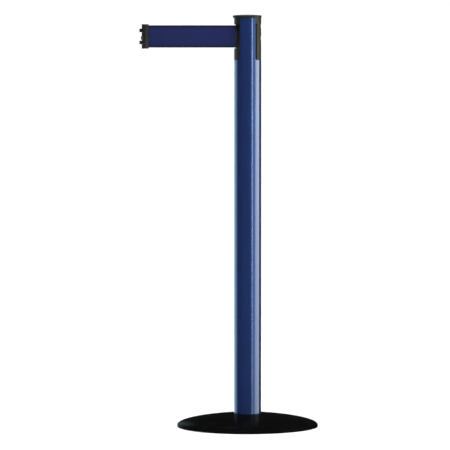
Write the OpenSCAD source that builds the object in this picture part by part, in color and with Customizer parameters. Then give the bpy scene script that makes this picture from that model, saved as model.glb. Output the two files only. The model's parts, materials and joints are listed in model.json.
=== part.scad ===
// Retractable belt stanchion: a round post on a weighted base, with a spring-wound belt in its head.
// Origin at the centre of the base on the floor, +Z up. The belt leaves the post towards -X, and the
// receiver for a neighbouring post's belt faces +X. Millimetres.

/* [Post] */
// Height from the floor to the top of the cap
post_height = 965; // [780:1:1200]
// Outside diameter of the post tube
post_d = 63.5; // [52:0.1:90]
// Wall of the post tube
post_wall = 2; // [1.2:0.1:3]
// Half angle of the panels left standing at the front and the back of the head
panel_half_angle = 35; // [30:0.5:44]
// Corner radius of the head windows
window_corner = 3; // [1:0.5:6]

/* [Cap] */
// Height of the cap above the tube
cap_h = 7; // [5:0.5:12]
// How far the cap's rim stands out past the tube
cap_overhang = 1.85; // [0.5:0.05:4]
// How far the cap is set over towards the belt mouth
cap_shift = 1; // [0:0.1:2]
// Rise of the cap's top from its edge to its middle
cap_crown = 1.4; // [0.5:0.1:2.5]

/* [Belt] */
// Width of the belt
belt_width = 50.8; // [40:0.1:70]
// Thickness of the belt
belt_thickness = 0.6; // [0.4:0.05:0.8]
// From the cap's top down to the belt's upper edge
head_top = 25.1; // [21:0.1:35]
// From the belt's lower edge down to the window sill
head_below = 29.3; // [27:0.1:45]
// Length of belt drawn out at rest, from the post's axis to the belt end
belt_out = 231; // [80:1:900]

/* [Head] */
// Radial thickness of the moulded window inserts
insert_t = 7; // [6.5:0.1:9]
// Gap between an insert and the edges of its window
insert_gap = 0.25; // [0.1:0.05:0.5]
// Width of the dark guide groove beside each panel
guide_groove_w = 3.4; // [2:0.1:4.5]
// Radial wall left behind the belt mouth
mouth_wall = 1; // [0.8:0.1:1.5]
// Radius of the guide rollers in the belt mouth
roller_r = 2; // [1.6:0.1:2.2]
// Radius of the spool's shaft
shaft_r = 3; // [2.5:0.1:3.5]
// Radius of the spool's core
core_r = 8; // [7:0.1:10]
// Thickness of the spool's flanges
flange_t = 1.5; // [1:0.1:2]
// Height of the power spring's barrel
barrel_h = 21.6; // [15:0.1:23]

/* [Belt end] */
// Length of the belt end along the belt
end_len = 16; // [15.5:0.1:22]
// Thickness of the belt end
end_t = 15; // [14:0.1:18]
// Distance between the two T lugs
lug_pitch = 28; // [27:0.1:30]
// Width of a T lug's head
lug_w = 13.5; // [11:0.1:14.5]
// Height of a T lug
lug_h = 8; // [6:0.1:9]
// Thickness of a T lug's head
lug_t = 3.2; // [2.5:0.1:3.3]
// Width of a T lug's neck
neck_w = 5; // [4:0.1:6]
// Thickness of the receiver's lip, which the neck passes
lip_t = 2; // [1.5:0.1:2.2]
// How far the latch has to be drawn back
latch_travel = 2.2; // [1.5:0.1:2.3]

/* [Base] */
// Diameter of the base
base_d = 330; // [260:1:420]
// Height of the base cover where it meets the post
cover_rise = 31.5; // [26:0.5:45]
// Height of the cover's upright rim
cover_rim = 4.5; // [2:0.5:6]
// Wall of the base cover
cover_wall = 1.5; // [1:0.1:2]
// Thickness of the rubber floor ring
ring_t = 3; // [2:0.5:5]
// Radial width of the rubber floor ring
ring_w = 18; // [10:1:30]
// Depth of the post's seat in the cast weight
seat_depth = 5.5; // [4:0.5:8]
// Radius of the base bolt
bolt_r = 6; // [5:0.5:8]

/* [Hidden] */
$fn = 96;
EPS = 0.01;
RUNNING = 0.05;     // radial clearance of a shaft in its bush
SLIP = 0.02;        // radial clearance of parts that are pressed or glued together
CLEAR = 0.3;        // gap between pieces of different bodies

post_r = post_d / 2;
tube_in_r = post_r - post_wall;
tube_top = post_height - cap_h;
window_half_w = post_r * cos(panel_half_angle);

belt_z = post_height - head_top - belt_width / 2;
sill_z = belt_z - belt_width / 2 - head_below;

insert_r = post_r - 0.15;
insert_in_r = insert_r - insert_t;
insert_tuck = 3;    // how far an insert's flanges reach in behind the panels
insert_side_x = sqrt(pow(tube_in_r, 2) - pow(window_half_w, 2)) - insert_tuck;
groove_floor_x = insert_side_x + 6.2;
groove_lift = 3;    // from the window sill up to the grooves
liner_r = tube_in_r - insert_gap;

flange_r = insert_in_r - 0.8;
roll_r = flange_r - 2.3;
core_half = belt_width / 2 + 0.8;
flange_top = belt_z + core_half + flange_t;
flange_bottom = belt_z - core_half - flange_t;
mouth_half = core_half + 1.8;

deck_t = 3.5;
deck_z = flange_top + 3.3;
deck_top = deck_z + deck_t;
deck_r = insert_in_r + 1.8;

lid_t = 1.2;
barrel_top = flange_bottom - lid_t;
barrel_bottom = barrel_top - barrel_h;
barrel_wall = 1.5;
barrel_floor = 1.5;

rotor_t = 2.5;
rotor_r = flange_r - 1.8;
rotor_z = barrel_bottom - rotor_t;
boss_r = 7;
shoe_h = 11.5;
shoe_top = rotor_z - 1.5;
shoe_z = shoe_top - shoe_h;
boss_z = shoe_z - 1.5;
drum_t = 1;
drum_r = flange_r - 1;
shoe_gap = 1;
lining_t = 1.8;
lining_r = drum_r - shoe_gap;
shoe_r = lining_r - lining_t;
shoe_in_r = 9;
shoe_pin_x = shoe_r - 5.7;
shoe_pin_r = 1.5;
shoe_from = -12;
shoe_to = 130;
garter_r = shoe_r - 1;
garter_wire = 0.75;
garter_z = shoe_z + shoe_h / 2;

cup_in_r = drum_r + drum_t;
cup_floor_t = 4;
cup_floor_z = boss_z - 7.5 - cup_floor_t;
cup_top = min(sill_z, rotor_z) - 0.1;

tie_r = (flange_r + tube_in_r) / 2 - 0.2;
tie_screw_r = 1.4;
tie_head_r = 2.3;
tie_head_h = 2.5;

roller_x = -(insert_in_r + roller_r - 0.2);
roller_y = roller_r + 0.35 + belt_thickness / 2;
roller_half = core_half + 1.2;
roller_pin_r = 1;
roller_pin_half = core_half + 4.4;
run_end_x = roller_x - 1.6;

bush_r = 5;
bush_len = 8;

cap_r = post_r + cap_overhang;
cap_edge = 1;
cap_screw_x = 14;
cap_screw_r = 1.5;
cap_screw_head_r = 3.1;
cap_screw_head_h = 2;
cap_boss_r = 3.8;
socket_r = 1.3;     // half the width across corners of a hexagon socket

lug_travel = lug_h + 2.5;
lug_gap = 0.2;
pocket_half_w = lug_w / 2 + 0.5;
pocket_back_x = insert_r - lip_t - lug_t - 2 * lug_gap;
lip_back_x = insert_r - lip_t;

end_half_h = belt_width / 2 + 3;
end_in_x = -belt_out;
end_out_x = end_in_x - end_len;
end_corner = 2;
nose_r = 1.3;
nose_y = 0.9;
neck_x = end_out_x - lip_t - lug_gap;
bar_r = 1.5;
bar_x = end_in_x - 3.6;
hem_r = bar_r + SLIP + belt_thickness;
bar_half = belt_width / 2 + 1.4;
web_end_x = bar_x + hem_r + 0.35;
latch_z = belt_z - lug_pitch / 2 + lug_travel - 0.1;
latch_half_h = lug_h / 2 - 0.2;
latch_half_w = end_t / 2 - 2.3;
latch_proud = 2;
latch_spring_len = 3.7;
latch_seat_x = bar_x - hem_r - 2.15;
latch_in_x = latch_seat_x - latch_spring_len;
tab_x = end_out_x + 1;
tab_w = 2;
tab_half_h = 3;
tab_proud = 1.5;
end_screw_x = end_out_x + 5.5;
end_screw_z = 19.5;
end_screw_r = 1.4;
end_screw_head_r = 2.5;

base_r = base_d / 2;
dome_spread = 1.05; // how far out the dome stays high
dome_edge = 0.5;    // how steeply it falls to the rim
cover_floor_gap = 1;
cover_hole_r = post_r + 0.3;
cover_gap = 0.5;
weight_r = base_r - 13;
seat_z = cover_rise - cover_wall - cover_gap - seat_depth;
seat_web = 6;
pocket_z = seat_z - seat_web;
washer_t = 2.5;
washer_r = 2 * bolt_r;
lock_washer_t = 1.5;
lock_washer_r = 1.6 * bolt_r;
bolt_head_h = 6.5;
bolt_head_r = 1.73 * bolt_r;
plug_h = 25;

// ---- Shared shapes ----

function arc_points(cx, cy, r, from, to, steps) =
    [for (i = [0 : steps]) [cx + r * cos(from + (to - from) * i / steps),
                            cy + r * sin(from + (to - from) * i / steps)]];

module tube(r_out, r_in, z_low, z_high) {
    translate([0, 0, z_low])
        difference() {
            cylinder(r = r_out, h = z_high - z_low);
            translate([0, 0, -1]) cylinder(r = r_in, h = z_high - z_low + 2);
        }
}

module disc(r, z_low, z_high) {
    translate([0, 0, z_low]) cylinder(r = r, h = z_high - z_low);
}

// A box given by its lowest and highest corners
module block(low, high) {
    translate(low) cube(high - low);
}

// A plate outline with two rounded lower corners, as seen along X
module window_outline(half_w, height, corner) {
    translate([-half_w, corner]) square([2 * half_w, height - corner]);
    translate([-half_w + corner, 0]) square([2 * (half_w - corner), height]);
    for (side = [-1, 1]) {
        translate([side * (half_w - corner), corner]) circle(r = corner);
    }
}

// The space of one head window, from the axis out along +X
module window_space(gap) {
    translate([0, 0, sill_z + (gap > 0 ? EPS : 0)])
        rotate([90, 0, 90])
            linear_extrude(height = 2 * post_r)
                window_outline(window_half_w - gap, tube_top - sill_z + (gap > 0 ? -EPS : 1), window_corner);
}

// ---- Post and cap ----

module post_tube() {
    color([0.10, 0.17, 0.38])
        difference() {
            tube(post_r, tube_in_r, seat_z, tube_top);
            window_space(0);
            mirror([1, 0, 0]) window_space(0);
        }
}

module cap_solid() {
    crown_z = post_height - cap_crown;
    crown_r = (pow(cap_r - cap_edge, 2) + pow(cap_crown, 2)) / (2 * cap_crown);
    crown_a = asin((cap_r - cap_edge) / crown_r);
    translate([-cap_shift, 0, 0])
        rotate_extrude()
            polygon(concat(
                [[0, tube_top], [cap_r - 0.5, tube_top], [cap_r, tube_top + 0.5]],
                arc_points(cap_r - cap_edge, crown_z - cap_edge, cap_edge, 0, 75, 5),
                arc_points(0, post_height - crown_r, crown_r, 90 - crown_a, 90, 8)));
}

module cap_screw_places() {
    for (side = [-1, 1]) {
        translate([side * cap_screw_x, 0, 0]) children();
    }
}

cap_screw_top = post_height - cap_crown / 2;

module top_cap() {
    color([0.09, 0.09, 0.09])
        difference() {
            union() {
                cap_solid();
                cap_screw_places() disc(cap_boss_r, deck_top, tube_top + 1);
            }
            cap_screw_places() {
                disc(cap_screw_r + 0.2, deck_top - 1, post_height + 1);
                translate([0, 0, cap_screw_top - cap_screw_head_h])
                    cylinder(r1 = cap_screw_r + 0.2, r2 = cap_screw_head_r + 0.25, h = cap_screw_head_h);
                disc(cap_screw_head_r + 0.25, cap_screw_top - EPS, post_height + 1);
            }
        }
}

module cap_screws() {
    color([0.3, 0.3, 0.31])
        cap_screw_places()
            difference() {
                union() {
                    disc(cap_screw_r - 0.1, deck_z - 0.2, cap_screw_top - 1);
                    translate([0, 0, cap_screw_top - cap_screw_head_h - 0.1])
                        cylinder(r1 = cap_screw_r - 0.1, r2 = cap_screw_head_r, h = cap_screw_head_h);
                }
                translate([0, 0, cap_screw_top - 1.5]) cylinder(r = socket_r, h = 3, $fn = 6);
            }
}

// ---- Moulded window inserts ----

// One insert on the +X side, with its flanges tucked behind the panels and its guide grooves
module insert_body() {
    difference() {
        union() {
            intersection() {
                disc(insert_r, sill_z, tube_top);
                window_space(insert_gap);
            }
            intersection() {
                disc(liner_r, sill_z, tube_top);
                block([insert_side_x, -post_r, sill_z], [post_r, post_r, tube_top]);
            }
        }
        disc(insert_in_r, sill_z - 1, tube_top + 1);
        disc(deck_r + 0.25, deck_z - 0.1, deck_top + 0.1);
        block([-post_r, -post_r, sill_z - 1], [insert_side_x, post_r, tube_top + 1]);
        for (side = [-1, 1]) {
            near_y = side * (window_half_w - guide_groove_w);
            far_y = side * (window_half_w + 1);
            block([groove_floor_x, min(near_y, far_y), sill_z + groove_lift],
                  [post_r + 1, max(near_y, far_y), belt_z + mouth_half + 2]);
        }
    }
}

module receiver_cut(low, channel_high, pocket_high) {
    block([lip_back_x - EPS, -neck_w / 2 - 0.5, low], [post_r + 1, neck_w / 2 + 0.5, channel_high + EPS]);
    block([pocket_back_x, -pocket_half_w, low], [lip_back_x, pocket_half_w, pocket_high]);
    block([lip_back_x - EPS, -pocket_half_w, channel_high], [post_r + 1, pocket_half_w, pocket_high]);
}

module receiver_insert() {
    color([0.10, 0.10, 0.10])
        difference() {
            insert_body();
            for (level = [-1, 1]) {
                hooked_z = belt_z + level * lug_pitch / 2;
                receiver_cut(hooked_z - lug_h / 2 - 0.5,
                             hooked_z + lug_travel - lug_h / 2 - 0.5,
                             hooked_z + lug_travel + lug_h / 2 + 0.3);
            }
        }
}

module roller_places() {
    for (side = [-1, 1]) {
        translate([roller_x, side * roller_y, belt_z]) children();
    }
}

module outlet_insert() {
    color([0.09, 0.09, 0.09])
        difference() {
            mirror([1, 0, 0]) insert_body();
            // The mouth: an open recess in front of a thin wall, the belt's slot and the rollers' pockets
            difference() {
                block([-post_r - 1, -window_half_w, belt_z - mouth_half],
                      [-groove_floor_x, window_half_w, belt_z + mouth_half]);
                disc(insert_in_r + mouth_wall, belt_z - mouth_half - 1, belt_z + mouth_half + 1);
            }
            block([-post_r, -roller_y - 0.4, belt_z - core_half],
                  [-insert_in_r + 1.5, roller_y + 0.4, belt_z + core_half]);
            roller_places() {
                disc(roller_r + 0.35, -roller_half - CLEAR, roller_half + CLEAR);
                disc(roller_pin_r + SLIP, -roller_pin_half - 0.1, roller_pin_half + 0.1);
            }
        }
}

module guide_roller(side) {
    color([0.16, 0.16, 0.16])
        translate([roller_x, side * roller_y, belt_z])
            tube(roller_r, roller_pin_r + RUNNING, -roller_half, roller_half);
}

module guide_roller_back() {
    guide_roller(1);
}

module guide_roller_front() {
    guide_roller(-1);
}

module roller_pins() {
    color([0.65, 0.65, 0.66])
        roller_places() disc(roller_pin_r, -roller_pin_half, roller_pin_half);
}

// ---- Decks that carry the spool ----

module tie_places() {
    for (side = [-1, 1]) {
        translate([0, side * tie_r, 0]) children();
    }
}

module upper_deck() {
    color([0.13, 0.13, 0.13])
        difference() {
            union() {
                disc(deck_r, deck_z, deck_top);
                intersection() {
                    disc(liner_r, deck_z, deck_top);
                    block([-insert_side_x + 0.4, -post_r, deck_z], [insert_side_x - 0.4, post_r, deck_top]);
                }
            }
            disc(shaft_r + SLIP, deck_z - 1, deck_top + 1);
            tie_places() disc(tie_screw_r + 0.15, deck_z - 1, deck_top + 1);
            cap_screw_places() disc(cap_screw_r - 0.1 + SLIP, deck_z - 1, deck_top + 1);
        }
}

module lower_deck() {
    color([0.13, 0.13, 0.13])
        difference() {
            union() {
                disc(liner_r, cup_floor_z, cup_floor_z + cup_floor_t);
                tube(liner_r, cup_in_r + SLIP, cup_floor_z, cup_top);
                disc(boss_r - 1, cup_floor_z, boss_z - CLEAR);
            }
            disc(shaft_r + SLIP, cup_floor_z - 1, boss_z + 1);
            tie_places() disc(tie_screw_r + SLIP, cup_floor_z + 3, cup_top + 1);
        }
}

module tie_screws() {
    color([0.65, 0.65, 0.66])
        tie_places()
            difference() {
                union() {
                    disc(tie_screw_r, cup_floor_z + 6, deck_top + 1);
                    disc(tie_head_r, deck_top, deck_top + tie_head_h);
                }
                translate([0, 0, deck_top + 1]) cylinder(r = socket_r, h = tie_head_h, $fn = 6);
            }
}

// ---- Spool ----

module spool_shaft() {
    clip_z = cup_floor_z - 1;
    color([0.7, 0.7, 0.71]) {
        disc(shaft_r, cup_floor_z, deck_top + EPS);
        disc(shaft_r + 1.5, deck_top, deck_top + 2);
        disc(shaft_r - 0.6, clip_z - EPS, cup_floor_z + EPS);
        disc(shaft_r, clip_z - 1.8, clip_z);
    }
}

module shaft_clip() {
    color([0.4, 0.4, 0.42])
        difference() {
            tube(shaft_r + 2, shaft_r - 0.6 + SLIP, cup_floor_z - 1 + SLIP, cup_floor_z);
            block([0, -1.2, cup_floor_z - 2], [shaft_r + 3, 1.2, cup_floor_z + 1]);
        }
}

module spool_core() {
    color([0.75, 0.74, 0.7])
        tube(core_r, bush_r + SLIP, flange_bottom, flange_top);
}

module spool_flange(z_low) {
    color([0.75, 0.74, 0.7])
        difference() {
            tube(flange_r, core_r + SLIP, z_low, z_low + flange_t);
            for (turn = [0 : 60 : 300]) {
                rotate([0, 0, turn])
                    translate([(core_r + flange_r) / 2, 0, z_low - 1]) cylinder(r = 3.5, h = flange_t + 2);
            }
        }
}

module upper_flange() {
    spool_flange(flange_top - flange_t);
}

module lower_flange() {
    spool_flange(flange_bottom);
}

module upper_bush() {
    color([0.72, 0.55, 0.3])
        tube(bush_r, shaft_r + RUNNING, flange_top - bush_len, flange_top);
}

module lower_bush() {
    color([0.72, 0.55, 0.3])
        tube(bush_r, shaft_r + RUNNING, boss_z, boss_z + bush_len);
}

// ---- Power spring ----

module spring_barrel() {
    color([0.6, 0.6, 0.62])
        difference() {
            disc(flange_r, barrel_bottom, barrel_top);
            disc(flange_r - barrel_wall, barrel_bottom + barrel_floor, barrel_top + 1);
            disc(shaft_r + CLEAR, barrel_bottom - 1, barrel_top + 1);
        }
}

module spring_lid() {
    color([0.6, 0.6, 0.62])
        tube(flange_r, shaft_r + CLEAR, barrel_top, flange_bottom);
}

module power_spring() {
    turns = 7;
    steps = 20;
    strip_t = 0.4;
    from_r = shaft_r + 2;
    to_r = flange_r - barrel_wall - strip_t;
    last = turns * steps;
    color([0.35, 0.37, 0.42])
        translate([0, 0, barrel_bottom + barrel_floor + CLEAR])
            linear_extrude(height = barrel_h - barrel_floor - 2 * CLEAR)
                polygon(concat(
                    [for (i = [0 : last])
                        (from_r + (to_r - from_r) * i / last + strip_t / 2)
                            * [cos(360 * i / steps), sin(360 * i / steps)]],
                    [for (i = [last : -1 : 0])
                        (from_r + (to_r - from_r) * i / last - strip_t / 2)
                            * [cos(360 * i / steps), sin(360 * i / steps)]]));
}

// ---- Centrifugal brake that slows the belt's return ----

module brake_rotor() {
    color([0.7, 0.7, 0.68])
        difference() {
            union() {
                disc(rotor_r, rotor_z, barrel_bottom);
                disc(boss_r, boss_z, rotor_z + EPS);
            }
            disc(bush_r + SLIP, boss_z - 1, boss_z + bush_len + EPS);
            disc(shaft_r + CLEAR, boss_z, barrel_bottom + 1);
            for (turn = [0, 180]) {
                rotate([0, 0, turn])
                    translate([shoe_pin_x, 0, 0]) disc(shoe_pin_r + SLIP, rotor_z - 1, barrel_bottom + 1);
            }
        }
}

module brake_pins() {
    color([0.65, 0.65, 0.66])
        for (turn = [0, 180]) {
            rotate([0, 0, turn])
                translate([shoe_pin_x, 0, 0]) disc(shoe_pin_r, shoe_z - 0.5, barrel_bottom);
        }
}

// A ring segment between two angles
module ring_segment(r_out, r_in, from, to, z_low, z_high) {
    steps = 6;
    far = 1.2 * r_out;
    intersection() {
        tube(r_out, r_in, z_low, z_high);
        translate([0, 0, z_low - 1])
            linear_extrude(height = z_high - z_low + 2)
                polygon(concat([[0, 0]], arc_points(0, 0, far, from, to, steps)));
    }
}

module garter_groove() {
    tube(drum_r, garter_r - garter_wire - 0.15, garter_z - garter_wire - 0.15, garter_z + garter_wire + 0.15);
}

module brake_shoe(turn) {
    color([0.72, 0.58, 0.32])
        rotate([0, 0, turn])
            difference() {
                ring_segment(shoe_r, shoe_in_r, shoe_from, shoe_to, shoe_z, shoe_top);
                translate([shoe_pin_x, 0, 0]) disc(shoe_pin_r + RUNNING, shoe_z - 1, shoe_top + 1);
                garter_groove();
            }
}

module brake_lining(turn) {
    color([0.25, 0.22, 0.2])
        rotate([0, 0, turn])
            difference() {
                ring_segment(lining_r, shoe_r, shoe_from + 20, shoe_to - 4, shoe_z, shoe_top);
                garter_groove();
            }
}

module brake_shoe_a() {
    brake_shoe(0);
}

module brake_shoe_b() {
    brake_shoe(180);
}

module brake_lining_a() {
    brake_lining(0);
}

module brake_lining_b() {
    brake_lining(180);
}

module garter_spring() {
    color([0.4, 0.42, 0.46])
        translate([0, 0, garter_z])
            rotate_extrude()
                translate([garter_r, 0]) circle(r = garter_wire, $fn = 24);
}

module brake_drum() {
    color([0.6, 0.6, 0.62])
        tube(cup_in_r, drum_r, boss_z - 2, cup_top - 0.2);
}

// ---- Belt ----

module belt_roll() {
    color([0.10, 0.12, 0.30])
        tube(roll_r, core_r + SLIP, belt_z - belt_width / 2, belt_z + belt_width / 2);
}

// The stretch from the roll, round the back roller and out along the mouth's middle
module belt_inner_run() {
    wrap_r = roller_y;
    leave_r = roll_r + CLEAR + belt_thickness / 2;
    apart = norm([roller_x, roller_y]);
    lean = atan2(roller_y, roller_x) - acos((leave_r + wrap_r) / apart);
    steps = 6;
    half_t = belt_thickness / 2;
    near_side = concat(
        [(leave_r - half_t) * [cos(lean), sin(lean)]],
        arc_points(roller_x, roller_y, wrap_r + half_t, lean + 180, 270, steps),
        [[run_end_x, -half_t]]);
    far_side = concat(
        [[run_end_x, half_t]],
        arc_points(roller_x, roller_y, wrap_r - half_t, 270, lean + 180, steps),
        [(leave_r + half_t) * [cos(lean), sin(lean)]]);
    color([0.10, 0.12, 0.30])
        translate([0, 0, belt_z - belt_width / 2])
            linear_extrude(height = belt_width)
                polygon(concat(near_side, far_side));
}

module belt_web() {
    color([0.10, 0.12, 0.30])
        block([web_end_x, -belt_thickness / 2, belt_z - belt_width / 2],
              [run_end_x, belt_thickness / 2, belt_z + belt_width / 2]);
}

// The belt's last turn, sewn round the bar inside the belt end
module belt_hem() {
    color([0.10, 0.12, 0.30])
        translate([bar_x, 0, 0]) {
            tube(hem_r, bar_r + SLIP, belt_z - belt_width / 2, belt_z + belt_width / 2);
            block([hem_r - 0.1, -belt_thickness / 2, belt_z - belt_width / 2],
                  [web_end_x - bar_x, belt_thickness / 2, belt_z + belt_width / 2]);
        }
}

// ---- Belt end ----

// Half of the belt end's outline, on the +Y side, from the outer face to the nose
function end_half_outline() =
    let (
        shoulder_x = end_out_x + end_len / 2 + 0.5,
        corner_y = end_t / 2 - end_corner,
        nose_x = end_in_x - nose_r,
        run = nose_x - shoulder_x,
        fall = nose_y - corner_y,
        slope = atan2(fall, run) + acos((end_corner - nose_r) / norm([run, fall]))
    )
    concat(
        arc_points(end_out_x + end_corner, corner_y, end_corner, 180, 90, 6),
        arc_points(shoulder_x, corner_y, end_corner, 90, slope, 4),
        arc_points(nose_x, nose_y, nose_r, slope, 0, 4));

module lug(z) {
    block([neck_x - EPS, -neck_w / 2, z - lug_h / 2], [end_out_x + EPS, neck_w / 2, z + lug_h / 2]);
    block([neck_x - lug_t, -lug_w / 2, z - lug_h / 2], [neck_x, lug_w / 2, z + lug_h / 2]);
}

module end_screw_places() {
    for (level = [-1, 1]) {
        translate([end_screw_x, end_t / 2, belt_z + level * end_screw_z]) rotate([90, 0, 0]) children();
    }
}

module end_solid() {
    outline = end_half_outline();
    other_half = [for (i = [len(outline) - 1 : -1 : 0]) [outline[i][0], -outline[i][1]]];
    difference() {
        union() {
            translate([0, 0, belt_z - end_half_h])
                linear_extrude(height = 2 * end_half_h)
                    polygon(concat(outline, other_half));
            for (level = [-1, 1]) {
                lug(belt_z + level * lug_pitch / 2);
            }
        }
        // The belt's slot, the hem's hollow and the bar's sockets
        block([bar_x, -belt_thickness / 2 - 0.4, belt_z - belt_width / 2 - 0.6],
              [end_in_x + 1, belt_thickness / 2 + 0.4, belt_z + belt_width / 2 + 0.6]);
        translate([bar_x, 0, belt_z]) {
            disc(hem_r + 0.25, -belt_width / 2 - 0.6, belt_width / 2 + 0.6);
            disc(bar_r + SLIP, -bar_half - 0.1, bar_half + 0.1);
        }
        // The latch's channel, the thumb tab's slot and the spring's seat
        block([end_out_x - 1, -latch_half_w - CLEAR, latch_z - latch_half_h - CLEAR],
              [latch_in_x + latch_travel + CLEAR, latch_half_w + CLEAR, latch_z + latch_half_h + CLEAR]);
        block([tab_x - CLEAR, -end_t, latch_z - tab_half_h - CLEAR],
              [tab_x + tab_w + latch_travel + CLEAR, -latch_half_w, latch_z + tab_half_h + CLEAR]);
        translate([latch_in_x, 0, latch_z])
            rotate([0, 90, 0]) cylinder(r = 1.9, h = latch_seat_x - latch_in_x);
        end_screw_places() {
            translate([0, 0, -1]) cylinder(r = end_screw_r + 0.1, h = end_t - 1);
            translate([0, 0, -EPS]) cylinder(r = end_screw_head_r + 0.15, h = 2);
        }
    }
}

module belt_end_front() {
    color([0.10, 0.10, 0.10])
        intersection() {
            end_solid();
            block([neck_x - lug_t - 1, -end_t, belt_z - end_half_h - 1],
                  [end_in_x + 1, 0, belt_z + end_half_h + 1]);
        }
}

module belt_end_back() {
    color([0.10, 0.10, 0.10])
        intersection() {
            end_solid();
            block([neck_x - lug_t - 1, 0, belt_z - end_half_h - 1],
                  [end_in_x + 1, end_t, belt_z + end_half_h + 1]);
        }
}

module belt_end_bar() {
    color([0.65, 0.65, 0.66])
        translate([bar_x, 0, belt_z]) disc(bar_r, -bar_half, bar_half);
}

module belt_end_screws() {
    color([0.3, 0.3, 0.31])
        end_screw_places()
            difference() {
                union() {
                    cylinder(r = end_screw_r, h = end_t - 2.4);
                    translate([0, 0, 0.2]) cylinder(r = end_screw_head_r, h = 1.7);
                }
                translate([0, 0, -EPS]) cylinder(r = 1.1, h = 1.2, $fn = 6);
            }
}

module latch_slide() {
    color([0.24, 0.24, 0.25]) {
        block([end_out_x - latch_proud, -latch_half_w, latch_z - latch_half_h],
              [latch_in_x, latch_half_w, latch_z + latch_half_h]);
        block([tab_x, -end_t / 2 - tab_proud, latch_z - tab_half_h],
              [tab_x + tab_w, -latch_half_w + EPS, latch_z + tab_half_h]);
    }
}

module latch_spring() {
    color([0.65, 0.65, 0.66])
        translate([latch_in_x, 0, latch_z])
            rotate([0, 90, 0]) tube(1.6, 1.1, 0, latch_seat_x - latch_in_x);
}

// ---- Base ----

// Height of the cover's outside at a radius: a low dome that steepens towards its rim
function cover_z(r) =
    cover_rim + (cover_rise - cover_rim)
        * pow(max(0, 1 - pow((r - cover_hole_r) / (base_r - cover_hole_r), dome_spread)), dome_edge);

// Radii from the rim inwards, closer together near the rim
function dome_radii(outer) =
    let (steps = 28)
    [for (i = [0 : steps]) outer - (outer - cover_hole_r) * pow(i / steps, 1.6)];

module base_cover() {
    outside = dome_radii(base_r);
    inside = dome_radii(base_r - cover_wall);
    last = len(inside) - 1;
    color([0.04, 0.04, 0.045])
        rotate_extrude()
            polygon(concat(
                [[base_r, cover_floor_gap]],
                [for (r = outside) [r, cover_z(r)]],
                [for (i = [last : -1 : 0]) [inside[i], cover_z(inside[i]) - cover_wall]],
                [[base_r - cover_wall, cover_floor_gap]]));
}

module base_weight() {
    radii = dome_radii(weight_r);
    color([0.2, 0.2, 0.21])
        difference() {
            rotate_extrude()
                polygon(concat(
                    [[0, ring_t], [weight_r, ring_t]],
                    [for (r = radii) [r, cover_z(r) - cover_wall - cover_gap]],
                    [[0, cover_rise - cover_wall - cover_gap]]));
            disc(post_r + 0.3, seat_z, cover_rise + 1);
            disc(washer_r + 4, ring_t - 1, pocket_z);
            disc(bolt_r + 0.5, ring_t, cover_rise);
        }
}

module floor_ring() {
    color([0.08, 0.08, 0.08])
        tube(weight_r - 1, weight_r - 1 - ring_w, 0, ring_t);
}

module post_plug() {
    color([0.55, 0.55, 0.57])
        tube(tube_in_r - SLIP, bolt_r + RUNNING, seat_z, seat_z + plug_h);
}

module base_washer() {
    color([0.68, 0.68, 0.7])
        tube(washer_r, bolt_r + 0.4, pocket_z - washer_t, pocket_z);
}

module lock_washer() {
    top = pocket_z - washer_t;
    color([0.5, 0.5, 0.52])
        difference() {
            tube(lock_washer_r, bolt_r + 0.2, top - lock_washer_t, top);
            block([0, -0.8, top - lock_washer_t - 1], [lock_washer_r + 1, 0.8, top + 1]);
        }
}

module base_bolt() {
    under_head_z = pocket_z - washer_t - lock_washer_t;
    color([0.68, 0.68, 0.7]) {
        translate([0, 0, under_head_z - bolt_head_h]) cylinder(r = bolt_head_r, h = bolt_head_h, $fn = 6);
        disc(bolt_r, under_head_z - EPS, seat_z + plug_h - 2);
    }
}

post_tube();
top_cap();
cap_screws();
outlet_insert();
receiver_insert();
upper_deck();
lower_deck();
tie_screws();
guide_roller_back();
guide_roller_front();
roller_pins();
spool_shaft();
shaft_clip();
spool_core();
upper_flange();
lower_flange();
upper_bush();
lower_bush();
spring_barrel();
spring_lid();
power_spring();
brake_rotor();
brake_pins();
brake_shoe_a();
brake_shoe_b();
brake_lining_a();
brake_lining_b();
garter_spring();
brake_drum();
belt_roll();
belt_inner_run();
belt_web();
belt_hem();
belt_end_front();
belt_end_back();
belt_end_bar();
belt_end_screws();
latch_slide();
latch_spring();
post_plug();
base_weight();
base_cover();
floor_ring();
base_bolt();
base_washer();
lock_washer();
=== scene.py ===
"""Retractable belt stanchion: materials, webbing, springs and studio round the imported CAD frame."""

import json
import math

import bmesh
import bpy
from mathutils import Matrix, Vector


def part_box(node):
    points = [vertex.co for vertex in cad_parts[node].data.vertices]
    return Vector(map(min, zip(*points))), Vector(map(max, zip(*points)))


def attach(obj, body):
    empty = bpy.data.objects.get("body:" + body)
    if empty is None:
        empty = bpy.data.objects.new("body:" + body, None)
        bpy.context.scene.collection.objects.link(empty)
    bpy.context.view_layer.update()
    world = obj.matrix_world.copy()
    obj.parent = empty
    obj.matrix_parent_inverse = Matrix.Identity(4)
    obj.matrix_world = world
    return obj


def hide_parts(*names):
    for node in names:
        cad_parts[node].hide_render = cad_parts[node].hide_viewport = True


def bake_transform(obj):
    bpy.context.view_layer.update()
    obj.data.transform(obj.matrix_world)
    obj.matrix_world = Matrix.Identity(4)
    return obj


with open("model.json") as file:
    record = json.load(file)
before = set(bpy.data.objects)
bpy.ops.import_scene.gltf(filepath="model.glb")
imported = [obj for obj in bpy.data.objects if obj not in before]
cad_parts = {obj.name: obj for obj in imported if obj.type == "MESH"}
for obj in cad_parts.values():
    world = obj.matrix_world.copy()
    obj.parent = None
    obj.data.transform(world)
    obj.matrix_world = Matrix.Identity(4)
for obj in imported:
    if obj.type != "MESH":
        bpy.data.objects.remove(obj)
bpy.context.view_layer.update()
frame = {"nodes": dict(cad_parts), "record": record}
nodes = frame["nodes"]
MM = 0.001


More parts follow.
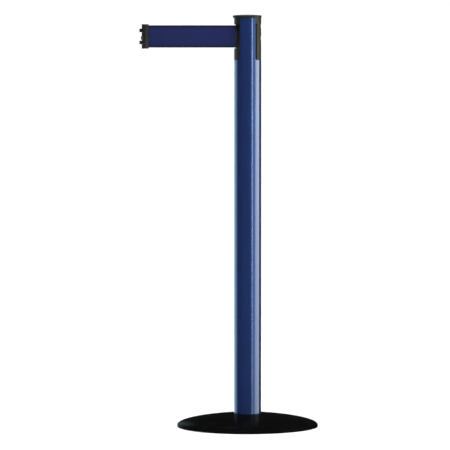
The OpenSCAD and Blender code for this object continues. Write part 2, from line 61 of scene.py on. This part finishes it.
# ---- Places worked out from the frame ----

WEB_LOW, WEB_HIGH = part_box("belt_web")
BELT_Z = (WEB_LOW.z + WEB_HIGH.z) / 2
BELT_HALF_W = (WEB_HIGH.z - WEB_LOW.z) / 2
BELT_HALF_T = (WEB_HIGH.y - WEB_LOW.y) / 2


# ---- Camera ----

SHOT_WIDTH = 1.053        # what the picture's width covers at the post
SHOT_DISTANCE = 10.0
SHOT_HEIGHT = 1.16
SHOT_AIM_Z = 0.4735
SHOT_X = -0.0528          # the post stands a little right of the picture's middle


def make_camera():
    data = bpy.data.cameras.new("camera")
    camera = bpy.data.objects.new("camera", data)
    bpy.context.scene.collection.objects.link(camera)
    place = Vector((SHOT_X, -SHOT_DISTANCE, SHOT_HEIGHT))
    aim = Vector((SHOT_X, 0.0, SHOT_AIM_Z))
    camera.location = place
    camera.rotation_euler = (aim - place).to_track_quat("-Z", "Y").to_euler()
    data.sensor_width = 36.0
    data.lens = data.sensor_width * (aim - place).length / SHOT_WIDTH
    data.clip_start = 0.1
    data.clip_end = 400.0
    bpy.context.scene.camera = camera


# ---- Node helpers ----

class Graph:
    """A material's node tree, with short calls for the nodes that the materials below share."""

    def __init__(self, name):
        self.material = bpy.data.materials.new(name)
        self.material.use_nodes = True
        self.tree = self.material.node_tree
        self.tree.nodes.clear()
        self.out = self.tree.nodes.new("ShaderNodeOutputMaterial")
        self.shader = self.tree.nodes.new("ShaderNodeBsdfPrincipled")
        self.link(self.shader.outputs["BSDF"], self.out.inputs["Surface"])
        self.place = self.tree.nodes.new("ShaderNodeTexCoord").outputs["Object"]

    def link(self, a, b):
        self.tree.links.new(a, b)

    def set(self, **values):
        for name, value in values.items():
            self.shader.inputs[name.replace("_", " ")].default_value = value
        return self

    def feed(self, socket, value):
        if isinstance(value, bpy.types.NodeSocket):
            self.link(value, socket)
        else:
            socket.default_value = value

    def math(self, operation, a, b=0.0, c=0.0):
        node = self.tree.nodes.new("ShaderNodeMath")
        node.operation = operation
        for socket, value in zip(node.inputs, (a, b, c)):
            self.feed(socket, value)
        return node.outputs[0]

    def axes(self):
        node = self.tree.nodes.new("ShaderNodeSeparateXYZ")
        self.link(self.place, node.inputs[0])
        return node.outputs

    def stretched(self, scale):
        node = self.tree.nodes.new("ShaderNodeMapping")
        self.link(self.place, node.inputs["Vector"])
        node.inputs["Scale"].default_value = scale
        return node.outputs[0]

    def noise(self, size, detail=2.0, rough=0.5, stretch=None):
        """Noise whose features are about size metres across."""
        node = self.tree.nodes.new("ShaderNodeTexNoise")
        self.link(self.stretched(stretch) if stretch else self.place, node.inputs["Vector"])
        node.inputs["Scale"].default_value = 1.0 / size
        node.inputs["Detail"].default_value = detail
        node.inputs["Roughness"].default_value = rough
        return node.outputs["Fac"]

    def cells(self, size):
        node = self.tree.nodes.new("ShaderNodeTexVoronoi")
        self.link(self.place, node.inputs["Vector"])
        node.inputs["Scale"].default_value = 1.0 / size
        return node.outputs["Distance"]

    def ranged(self, value, low, high, from_low=0.3, from_high=0.7):
        node = self.tree.nodes.new("ShaderNodeMapRange")
        self.feed(node.inputs["Value"], value)
        node.inputs["From Min"].default_value = from_low
        node.inputs["From Max"].default_value = from_high
        node.inputs["To Min"].default_value = low
        node.inputs["To Max"].default_value = high
        return node.outputs[0]

    def mixed(self, share, a, b):
        node = self.tree.nodes.new("ShaderNodeMix")
        node.data_type = "RGBA"
        self.feed(node.inputs["Factor"], share)
        for name, value in (("A", a), ("B", b)):
            socket = [s for s in node.inputs if s.name == name and s.type == "RGBA"][0]
            self.feed(socket, value if isinstance(value, bpy.types.NodeSocket) else (*value, 1.0))
        return [s for s in node.outputs if s.type == "RGBA"][0]

    def bumped(self, height, depth, strength=1.0):
        node = self.tree.nodes.new("ShaderNodeBump")
        node.inputs["Strength"].default_value = strength
        node.inputs["Distance"].default_value = depth
        self.link(height, node.inputs["Height"])
        self.link(node.outputs[0], self.shader.inputs["Normal"])
        return self

    def colour(self, value):
        self.feed(self.shader.inputs["Base Color"], value)
        return self

    def roughness(self, value):
        self.feed(self.shader.inputs["Roughness"], value)
        return self


# ---- Materials, one function each ----

def post_blue():
    """Gloss dark blue metallic coat: faint orange peel, fine long scuffs."""
    g = Graph("post_blue")
    flake = g.noise(0.35 * MM, 1.0)
    cloud = g.noise(60 * MM, 3.0)
    scuff = g.noise(3 * MM, 4.0, 0.6, stretch=(1.0, 1.0, 0.06))
    deep = g.mixed(g.ranged(cloud, 0.0, 1.0), (0.0030, 0.0205, 0.112), (0.0040, 0.0245, 0.130))
    g.colour(g.mixed(g.ranged(flake, 0.0, 0.45, 0.45, 0.75), deep, (0.007, 0.050, 0.24)))
    g.roughness(g.ranged(scuff, 0.28, 0.38))
    g.set(Metallic=0.62, Coat_Weight=1.0, Coat_Roughness=0.03, Coat_IOR=1.5)
    peel = g.math("ADD", g.noise(5 * MM, 1.0), g.math("MULTIPLY", scuff, 0.25))
    return g.bumped(peel, 0.01 * MM, 0.3).material


def grained(name, dark, light, grain, rough):
    """Moulded plastic with a spark-eroded grain, handled smoother in places."""
    g = Graph(name)
    fine = g.noise(grain, 3.0, 0.6)
    handled = g.noise(25 * MM, 3.0)
    g.colour(g.mixed(g.ranged(handled, 0.0, 1.0), dark, light))
    g.roughness(g.math("ADD", g.ranged(handled, rough[0], rough[1]), g.ranged(fine, -0.04, 0.04)))
    g.set(Specular_IOR_Level=0.34)
    pits = g.math("MULTIPLY", g.cells(2.2 * grain), 0.5)
    return g.bumped(g.math("ADD", fine, pits), 0.05 * MM, 0.35).material


def black_plastic():
    dark, light = (0.0035, 0.0035, 0.0038), (0.007, 0.007, 0.0072)
    return grained("black_plastic", dark, light, 0.45 * MM, (0.42, 0.54))


def roller_plastic():
    return grained("roller_plastic", (0.014, 0.014, 0.015), (0.020, 0.020, 0.021), 0.2 * MM, (0.22, 0.32))


def latch_grey():
    return grained("latch_grey", (0.035, 0.035, 0.038), (0.05, 0.05, 0.054), 0.4 * MM, (0.4, 0.5))


def spool_plastic():
    return grained("spool_plastic", (0.46, 0.44, 0.38), (0.54, 0.52, 0.46), 0.5 * MM, (0.4, 0.5))


def base_black():
    """Satin black coat over pressed steel: fine texture, faint turning marks, dust in the low spots."""
    g = Graph("base_black")
    x, y, z = g.axes()
    radius = g.math("SQRT", g.math("ADD", g.math("MULTIPLY", x, x), g.math("MULTIPLY", y, y)))
    rings = g.math("SINE", g.math("MULTIPLY", radius, 2 * math.pi / (1.6 * MM)))
    fine = g.noise(0.6 * MM, 3.0, 0.6)
    dust = g.noise(35 * MM, 5.0, 0.65)
    low_spots = g.ranged(dust, 0.0, 1.0, 0.5, 0.8)
    g.colour(g.mixed(low_spots, (0.0022, 0.0022, 0.0023), (0.0045, 0.0045, 0.0046)))
    g.roughness(g.math("ADD", g.ranged(dust, 0.18, 0.28), g.ranged(fine, -0.02, 0.02)))
    g.set(IOR=1.03)
    return g.bumped(g.math("ADD", fine, g.math("MULTIPLY", rings, 0.12)), 0.012 * MM, 0.3).material


RIB = 1.27 * MM           # pitch of the webbing's warp ribs
PICK = 0.9 * MM           # pitch of its weft picks
SELVEDGE = 3.1 * MM
SELVEDGE_PROUD = 0.5 * MM  # how far the drawn-out belt's edges stand out past its nominal width


def webbing():
    """Navy polyester webbing: ribs along the belt crossed by picks, with painted shade on the selvedges and
    in the grooves beside them.
    """
    g = Graph("webbing")
    x, y, z = g.axes()
    across = g.math("DIVIDE", g.math("SUBTRACT", z, BELT_Z), RIB)
    along = g.math("DIVIDE", g.math("ADD", x, y), PICK)
    step = g.math("MULTIPLY", g.math("FLOOR", across), 0.5)
    rib = g.math("ABSOLUTE", g.math("SINE", g.math("MULTIPLY", across, math.pi)))
    pick = g.math("ABSOLUTE", g.math("SINE", g.math("MULTIPLY", g.math("ADD", along, step), math.pi)))
    weave = g.math("MULTIPLY", g.math("POWER", rib, 0.6), g.math("ADD", g.math("MULTIPLY", pick, 0.6), 0.4))
    fibre = g.noise(0.25 * MM, 3.0, 0.6, stretch=(0.25, 1.0, 1.0))
    yarn = g.noise(1.2 * MM, 2.0, 0.5, stretch=(0.02, 1.0, 1.0))
    edge = g.math("ABSOLUTE", g.math("SUBTRACT", z, BELT_Z))
    # Painted shade: this mask darkens the selvedge beads to near black, standing in for the shade on the
    # belt's edges.
    selvedge = g.ranged(edge, 0.0, 1.0, BELT_HALF_W - SELVEDGE, BELT_HALF_W - 0.75 * SELVEDGE)
    # Painted shade: this mask darkens the cloth along the groove beside each selvedge.
    groove = g.ranged(g.math("ABSOLUTE", g.math("SUBTRACT", edge, BELT_HALF_W - 2.1 * SELVEDGE)),
                      1.0, 0.0, 0.3 * SELVEDGE, 0.55 * SELVEDGE)
    cloth = g.mixed(g.ranged(weave, 0.0, 1.0, 0.1, 0.9), (0.0040, 0.0062, 0.033), (0.0095, 0.0145, 0.079))
    cloth = g.mixed(g.ranged(yarn, 0.0, 0.35), cloth, (0.0135, 0.0185, 0.092))
    # The darker colour here is painted shade in the grooves beside the selvedges.
    cloth = g.mixed(g.math("MULTIPLY", groove, 0.55), cloth, (0.0050, 0.0062, 0.028))
    # The near-black colour here is painted shade on the selvedges.
    g.colour(g.mixed(g.math("MULTIPLY", selvedge, 0.95), cloth, (0.0012, 0.0017, 0.006)))
    g.roughness(g.ranged(fibre, 0.72, 0.9))
    g.set(Specular_IOR_Level=0.15, Sheen_Weight=0.08, Sheen_Roughness=0.4)
    g.set(Sheen_Tint=(0.35, 0.4, 0.8, 1.0))
    return g.bumped(g.math("ADD", weave, g.math("MULTIPLY", fibre, 0.2)), 0.22 * MM, 0.6).material


def steel(name, colour, rough, streak):
    """Plated or blued steel: fine drawn lines, spots of duller plate."""
    g = Graph(name)
    line = g.noise(streak, 4.0, 0.7, stretch=(1.0, 1.0, 0.15))
    spot = g.noise(9 * MM, 4.0, 0.6)
    worn = tuple(c * 0.72 for c in colour)
    g.colour(g.mixed(g.ranged(spot, 0.0, 1.0, 0.35, 0.7), colour, worn))
    g.roughness(g.math("ADD", g.ranged(line, rough[0], rough[1]), g.ranged(spot, 0.0, 0.08)))
    g.set(Metallic=1.0)
    return g.bumped(line, 0.01 * MM, 0.5).material


def zinc_steel():
    return steel("zinc_steel", (0.52, 0.53, 0.55), (0.26, 0.42), 0.5 * MM)


def dark_screw():
    return steel("dark_screw", (0.07, 0.07, 0.075), (0.3, 0.45), 0.4 * MM)


def spring_steel():
    return steel("spring_steel", (0.20, 0.22, 0.27), (0.22, 0.36), 0.3 * MM)


def aluminium():
    return steel("aluminium", (0.70, 0.70, 0.69), (0.25, 0.4), 0.4 * MM)


def bronze():
    """Sintered bronze: open pores."""
    g = Graph("bronze")
    pore = g.cells(0.7 * MM)
    g.colour(g.mixed(g.ranged(pore, 0.0, 1.0, 0.1, 0.5), (0.20, 0.12, 0.05), (0.50, 0.31, 0.13)))
    g.roughness(g.ranged(g.noise(2 * MM), 0.35, 0.5))
    g.set(Metallic=1.0)
    return g.bumped(pore, 0.06 * MM, 0.5).material


def cast_iron():
    """Sand-cast iron under a thin sealer."""
    g = Graph("cast_iron")
    sand = g.noise(1.6 * MM, 5.0, 0.7)
    rust = g.noise(22 * MM, 5.0, 0.65)
    g.colour(g.mixed(g.ranged(rust, 0.0, 0.8, 0.55, 0.75), (0.045, 0.045, 0.047), (0.09, 0.045, 0.022)))
    g.roughness(g.ranged(sand, 0.6, 0.85))
    g.set(Metallic=0.6)
    return g.bumped(sand, 0.5 * MM, 0.6).material


def rubber():
    """Moulded rubber with a dusty bloom."""
    g = Graph("rubber")
    bloom = g.noise(12 * MM, 4.0, 0.6)
    g.colour(g.mixed(g.ranged(bloom, 0.0, 1.0, 0.4, 0.8), (0.010, 0.010, 0.010), (0.022, 0.021, 0.020)))
    g.roughness(g.ranged(bloom, 0.62, 0.82))
    return g.bumped(g.noise(0.5 * MM, 3.0), 0.06 * MM, 0.4).material


def lining():
    """Pressed friction lining with brass chips."""
    g = Graph("lining")
    chip = g.cells(1.1 * MM)
    g.colour(g.mixed(g.ranged(chip, 1.0, 0.0, 0.05, 0.25), (0.05, 0.042, 0.036), (0.30, 0.2, 0.09)))
    g.roughness(g.ranged(g.noise(1.5 * MM), 0.7, 0.9))
    return g.bumped(g.noise(0.6 * MM, 4.0), 0.08 * MM, 0.5).material


MAKERS = [post_blue, black_plastic, roller_plastic, latch_grey, spool_plastic, base_black, webbing,
          zinc_steel, dark_screw, spring_steel, aluminium, bronze, cast_iron, rubber, lining]
materials = {make.__name__: make() for make in MAKERS}


SLOT_OF = {row["node"]: row["material_slot"] for row in frame["record"]["subparts"]}


def dress_cad():
    """Gives every CAD node its slot's material."""
    for node, slot in SLOT_OF.items():
        nodes[node].data.materials.clear()
        nodes[node].data.materials.append(materials[slot])


# ---- Mesh helpers ----

def new_piece(name, verts, faces, slot, sharp_deg=35):
    mesh = bpy.data.meshes.new(name)
    mesh.from_pydata([tuple(v) for v in verts], [], faces)
    mesh.validate()
    mesh.polygons.foreach_set("use_smooth", [True] * len(mesh.polygons))
    mesh.set_sharp_from_angle(angle=math.radians(sharp_deg))
    mesh.materials.append(materials[slot])
    obj = bpy.data.objects.new(name, mesh)
    bpy.context.scene.collection.objects.link(obj)
    return obj


# ---- Belt ----

BACK_LOW, BACK_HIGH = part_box("guide_roller_back")
BAR_LOW, BAR_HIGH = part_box("belt_end_bar")
BELT_T = 2 * BELT_HALF_T
ROLL_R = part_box("belt_roll")[1].x
CORE_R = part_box("spool_core")[1].x
ROLLER_X = (BACK_LOW.x + BACK_HIGH.x) / 2
ROLLER_Y = (BACK_LOW.y + BACK_HIGH.y) / 2
BAR_X = (BAR_LOW.x + BAR_HIGH.x) / 2
BAR_R = (BAR_HIGH.x - BAR_LOW.x) / 2
ROLL_GAP = 0.3 * MM       # from the roll to the stretch that leaves it
BEAD_STEPS = 5            # facets in a quarter of a selvedge's bead


def web_section():
    """The webbing's cross-section, once round, as (side, up) points. side goes from -1 to 1 through the
    thickness and up is in metres from the middle: a bead at each selvedge, and a groove beside it."""
    top = BELT_HALF_W + SELVEDGE_PROUD - BELT_HALF_T
    quarter = [math.pi / 2 * i / BEAD_STEPS for i in range(BEAD_STEPS + 1)]
    edge = [(math.cos(t), top + BELT_HALF_T * math.sin(t)) for t in quarter]
    inside = [(1.0, 0.0), (1.0, BELT_HALF_W - 2.6 * SELVEDGE), (0.78, BELT_HALF_W - 2.2 * SELVEDGE),
              (0.78, BELT_HALF_W - 2.0 * SELVEDGE), (1.0, BELT_HALF_W - 1.6 * SELVEDGE),
              (1.0, BELT_HALF_W - 1.15 * SELVEDGE), (0.8, BELT_HALF_W - 1.0 * SELVEDGE),
              (1.0, BELT_HALF_W - 0.8 * SELVEDGE)]
    half = inside + edge
    whole = [(a, -b) for a, b in reversed(half[1:])] + half
    return whole + [(-a, b) for a, b in reversed(whole[1:-1])]


def strip(name, path, section, slot):
    """Sweeps a section along path, a list of (x, y) in the frame, with the section's up along Z."""
    count = len(section)
    verts, faces = [], []
    for i, here in enumerate(path):
        before, after = path[max(i - 1, 0)], path[min(i + 1, len(path) - 1)]
        along = Vector((after[0] - before[0], after[1] - before[1])).normalized()
        side = Vector((-along.y, along.x))
        bend = 1.0
        if 0 < i < len(path) - 1:
            into = Vector((here[0] - before[0], here[1] - before[1])).normalized()
            bend = 1 / max(0.7, abs(along.dot(into)))
        for a, b in section:
            reach = a * BELT_HALF_T * bend
            verts.append((here[0] + side.x * reach, here[1] + side.y * reach, BELT_Z + b))
    for i in range(len(path) - 1):
        for j in range(count):
            k = (j + 1) % count
            faces.append((i * count + j, (i + 1) * count + j, (i + 1) * count + k, i * count + k))
    last = (len(path) - 1) * count
    faces.append(tuple(range(count)))
    faces.append(tuple(reversed(range(last, last + count))))
    return new_piece(name, verts, faces, slot, 50)


def arc(cx, cy, r, start, end, steps):
    """Points on a circle between two angles in degrees."""
    turns = [math.radians(start + (end - start) * i / steps) for i in range(steps + 1)]
    return [(cx + r * math.cos(t), cy + r * math.sin(t)) for t in turns]


def make_web():
    """The belt from its roll, round the back roller, out through the mouth and round the belt end's bar.
    The drawn-out stretch has points only at its two ends, so that it stays flat at any length."""
    leave_r = ROLL_R + ROLL_GAP + BELT_HALF_T
    apart = math.hypot(ROLLER_X, ROLLER_Y)
    lean = math.degrees(math.atan2(ROLLER_Y, ROLLER_X) - math.acos((leave_r + ROLLER_Y) / apart))
    leave = (leave_r * math.cos(math.radians(lean)), leave_r * math.sin(math.radians(lean)))
    inner = [leave] + arc(ROLLER_X, ROLLER_Y, ROLLER_Y, lean + 180, 270, 10) + [(WEB_HIGH.x, 0.0)]
    loop_r = BAR_R + BELT_HALF_T + 0.02 * MM
    tail = (WEB_LOW.x - 0.25 * MM, -1.15 * BELT_T)
    hem = [(WEB_LOW.x, 0.0)] + arc(BAR_X, 0, loop_r, 50, 310, 18) + [tail]
    path = inner + hem
    web = strip("belt_webbing", path, web_section(), "webbing")
    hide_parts("belt_web", "belt_inner_run", "belt_hem")
    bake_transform(web)
    return lean


def spiral(r_in, r_out, turns, end_deg, steps_per_turn):
    """A spiral that grows anticlockwise and ends at end_deg."""
    steps = int(turns * steps_per_turn)
    points = []
    for i in range(steps + 1):
        share = i / steps
        t = math.radians(end_deg - 360 * turns * (1 - share))
        r = r_in + (r_out - r_in) * share
        points.append((r * math.cos(t), r * math.sin(t)))
    return points


def make_roll(leave_deg):
    """The belt wound on its spool."""
    pitch = 0.93 * BELT_T     # wound tight
    r_in, r_out = CORE_R + 0.55 * pitch, ROLL_R - 0.5 * pitch
    turns = (r_out - r_in) / pitch
    path = spiral(r_in, r_out, turns, leave_deg, 44)
    thin = 0.84               # a wound turn's thickness, as a share of the free belt's
    wall = BELT_HALF_W - 0.2 * MM
    corners = [(1, -wall), (1, wall), (0.5, BELT_HALF_W), (-0.5, BELT_HALF_W),
               (-1, wall), (-1, -wall), (-0.5, -BELT_HALF_W), (0.5, -BELT_HALF_W)]
    section = [(thin * a, b) for a, b in corners]
    roll = strip("belt_wound_turns", path, section, "webbing")
    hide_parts("belt_roll")
    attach(roll, "spool")


# ---- Springs ----

def tube_along(name, points, r, sides, slot):
    """A round wire through points."""
    verts, faces = [], []
    last = len(points) - 1
    normal = None
    for i, here in enumerate(points):
        before, after = points[max(i - 1, 0)], points[min(i + 1, last)]
        along = (after - before).normalized()
        if normal is None:
            normal = along.orthogonal().normalized()
        normal = (normal - along * normal.dot(along)).normalized()
        other = along.cross(normal)
        for k in range(sides):
            t = 2 * math.pi * k / sides
            verts.append(here + r * (math.cos(t) * normal + math.sin(t) * other))
    for i in range(last):
        a, b = i * sides, (i + 1) * sides
        for k in range(sides):
            n = (k + 1) % sides
            faces.append((a + k, a + n, b + n, b + k))
    faces.append(tuple(reversed(range(sides))))
    faces.append(tuple(range(last * sides, (last + 1) * sides)))
    return new_piece(name, verts, faces, slot, 80)


def make_springs():
    low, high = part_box("latch_spring")
    centre = (low + high) / 2
    wire = 0.25 * MM
    coil_r = (high.z - low.z) / 2 - wire
    turns, steps = 5, 16
    points = []
    for i in range(turns * steps + 1):
        t = 2 * math.pi * i / steps
        share = i / (turns * steps)
        x = low.x + wire + (high.x - low.x - 2 * wire) * share
        points.append(Vector((x, centre.y + coil_r * math.cos(t), centre.z + coil_r * math.sin(t))))
    coil = tube_along("latch_coil", points, wire, 8, "spring_steel")
    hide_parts("latch_spring")
    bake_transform(coil)

    low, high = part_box("garter_spring")
    coil_r = (high.z - low.z) / 2
    ring_r = high.x - coil_r
    wire = 0.16 * MM
    coils, steps = 75, 10
    level = (low.z + high.z) / 2
    for shoe, tip in (("shoe_a", -1), ("shoe_b", 1)):
        shoe_low, shoe_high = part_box("brake_" + shoe)
        side = math.copysign(1, shoe_low.y + shoe_high.y)
        points = []
        for i in range(coils * steps + 1):
            around = side * math.pi * i / (coils * steps)
            t = 2 * math.pi * i / steps
            r = ring_r + (coil_r - wire) * math.cos(t)
            points.append(Vector((r * math.cos(around), r * math.sin(around),
                                  level + (coil_r - wire) * math.sin(t))))
        garter = tube_along("garter_coils" + shoe[-2:], points, wire, 6, "spring_steel")
        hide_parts("garter_spring")
        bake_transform(garter)

    low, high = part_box("power_spring")
    middle = (low.z + high.z) / 2 - BELT_Z
    half = (high.z - low.z) / 2
    leaf = 0.45
    section = [(leaf, middle - half), (leaf, middle + half), (-leaf, middle + half), (-leaf, middle - half)]
    path = spiral(5.4 * MM, high.x - 0.3 * MM, 24, 90, 48)
    spring = strip("power_spring_coils", path, section, "spring_steel")
    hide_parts("power_spring")
    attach(spring, "spool")


# ---- Hard edges eased ----

HARD_EDGE = math.radians(32)


def eased(node, body, width):
    """A copy of a CAD node with its hard edges rounded, as a moulding's are."""
    source = nodes[node]
    bm = bmesh.new()
    bm.from_mesh(source.data)
    bmesh.ops.remove_doubles(bm, verts=bm.verts, dist=2e-6)
    bmesh.ops.dissolve_limit(bm, angle_limit=math.radians(0.6), verts=bm.verts, edges=bm.edges,
                             delimit={"NORMAL"})
    sharp = [e for e in bm.edges if len(e.link_faces) == 2 and e.calc_face_angle(0.0) > HARD_EDGE]
    bmesh.ops.bevel(bm, geom=sharp, offset=width, offset_type="OFFSET", segments=2, profile=0.5,
                    affect="EDGES", clamp_overlap=True)
    mesh = bpy.data.meshes.new(node + "_eased")
    bm.to_mesh(mesh)
    bm.free()
    mesh.polygons.foreach_set("use_smooth", [True] * len(mesh.polygons))
    mesh.set_sharp_from_angle(angle=math.radians(30))
    slot = SLOT_OF[node]
    mesh.materials.clear()
    mesh.materials.append(materials[slot])
    piece = bpy.data.objects.new(mesh.name, mesh)
    bpy.context.scene.collection.objects.link(piece)
    shading = piece.modifiers.new("shading", "WEIGHTED_NORMAL")
    shading.mode = "FACE_AREA"
    shading.weight = 100
    shading.keep_sharp = True
    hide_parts(node)
    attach(piece, body)
    return piece


# Node, body, and how far its edges are rounded in millimetres
EASED = [("top_cap", "post", 0.6), ("outlet_insert", "post", 0.4), ("receiver_insert", "post", 0.4),
         ("belt_end_front", "belt_end", 0.5), ("belt_end_back", "belt_end", 0.5),
         ("latch_slide", "latch", 0.3)]


# ---- Studio ----

def area_light(name, place, aim, size, power, colour, foot=1.0):
    """A soft box. foot is how bright its lower edge is, next to its upper edge."""
    data = bpy.data.lights.new(name, "AREA")
    data.shape = "RECTANGLE"
    data.size, data.size_y = size
    data.energy = power
    data.color = colour
    light = bpy.data.objects.new(name, data)
    bpy.context.scene.collection.objects.link(light)
    light.location = place
    direction = Vector(aim) - Vector(place)
    light.rotation_euler = direction.to_track_quat("-Z", "Y").to_euler()
    light.visible_camera = False
    if foot < 1.0:
        data.use_nodes = True
        tree = data.node_tree
        face = tree.nodes.new("ShaderNodeNewGeometry")
        up = tree.nodes.new("ShaderNodeSeparateXYZ")
        fade = tree.nodes.new("ShaderNodeMapRange")
        fade.inputs["To Min"].default_value = foot
        fade.inputs["To Max"].default_value = 1.0
        tree.links.new(face.outputs["Parametric"], up.inputs[0])
        tree.links.new(up.outputs["Y"], fade.inputs["Value"])
        tree.links.new(fade.outputs[0], tree.nodes["Emission"].inputs["Strength"])
    return light


FRONT_FILL = 0.18         # the room's glow from the camera's side, and from behind the post
BACK_FILL = 0.03
ROOM_TINT = (0.92, 0.96, 1.0, 1.0)
FLOOR_REACH = 150.0
SUN_POWER = 4.2
SUN_SPREAD = math.radians(50)
SUN_TILT = (math.radians(32), math.radians(-12), 0)
BOX_Z = 0.15              # the soft boxes' height, low enough to keep their image off the base
BOX_TALL = 1.6

# Name, degrees round the post from the camera's side (positive to the right), distance, width, power,
# colour, and the lower edge's share of the upper edge's brightness
SOFT_BOXES = [("side_box", 88.4, 1.6, 1.46, 46, (0.96, 0.99, 0.82), 0.3),
              ("side_fill", 54, 1.7, 0.6, 3.4, (0.75, 0.95, 1.0), 1.0),
              ("strip", 39, 1.7, 0.11, 11.0, (0.66, 0.90, 1.0), 0.2),
              ("back_box", -135, 1.8, 2.4, 17, (0.66, 0.94, 1.0), 1.0)]


def make_room():
    """An even glow that is brighter on the camera's side."""
    world = bpy.data.worlds.new("studio")
    world.use_nodes = True
    tree = world.node_tree
    back = tree.nodes["Background"]
    back.inputs["Color"].default_value = ROOM_TINT
    where = tree.nodes.new("ShaderNodeTexCoord")
    axis = tree.nodes.new("ShaderNodeSeparateXYZ")
    shade = tree.nodes.new("ShaderNodeMapRange")
    shade.inputs["From Min"].default_value = -1.0
    shade.inputs["From Max"].default_value = 0.4
    shade.inputs["To Min"].default_value = FRONT_FILL
    shade.inputs["To Max"].default_value = BACK_FILL
    tree.links.new(where.outputs["Generated"], axis.inputs[0])
    tree.links.new(axis.outputs["Y"], shade.inputs["Value"])
    tree.links.new(shade.outputs[0], back.inputs["Strength"])
    bpy.context.scene.world = world


def make_floor():
    far = FLOOR_REACH
    verts = [(-far, -far, 0), (far, -far, 0), (far, far, 0), (-far, far, 0)]
    mesh = bpy.data.meshes.new("floor")
    mesh.from_pydata(verts, [], [(0, 1, 2, 3)])
    floor = bpy.data.objects.new("floor", mesh)
    bpy.context.scene.collection.objects.link(floor)
    g = Graph("floor_white")
    g.colour(g.mixed(g.ranged(g.noise(3.0), 0.0, 1.0), (0.90, 0.90, 0.90), (0.92, 0.92, 0.92)))
    g.roughness(0.9).set(Specular_IOR_Level=0.1)
    mesh.materials.append(g.material)
    floor.visible_glossy = False


def make_lights():
    """A broad overhead light, soft boxes round the post, and a small one above and behind it."""
    sun = bpy.data.lights.new("overhead", "SUN")
    sun.energy = SUN_POWER
    sun.angle = SUN_SPREAD
    lamp = bpy.data.objects.new("overhead", sun)
    bpy.context.scene.collection.objects.link(lamp)
    lamp.rotation_euler = SUN_TILT
    for name, degrees, distance, wide, power, colour, foot in SOFT_BOXES:
        turn = math.radians(degrees)
        place = (distance * math.sin(turn), -distance * math.cos(turn), BOX_Z)
        area_light(name, place, (0, 0, BOX_Z), (wide, BOX_TALL), power, colour, foot)
    area_light("top_back", (-0.13, 2.2, 2.1), (0, -0.15, 0), (0.5, 0.1), 1.2, (1.0, 1.0, 1.0))


def make_studio():
    make_room()
    make_floor()
    make_lights()
    view = bpy.context.scene.view_settings
    view.view_transform = "Standard"
    view.look = "None"


make_camera()
dress_cad()
make_roll(make_web())
make_springs()
for node, body, width in EASED:
    eased(node, body, width * MM)
make_studio()
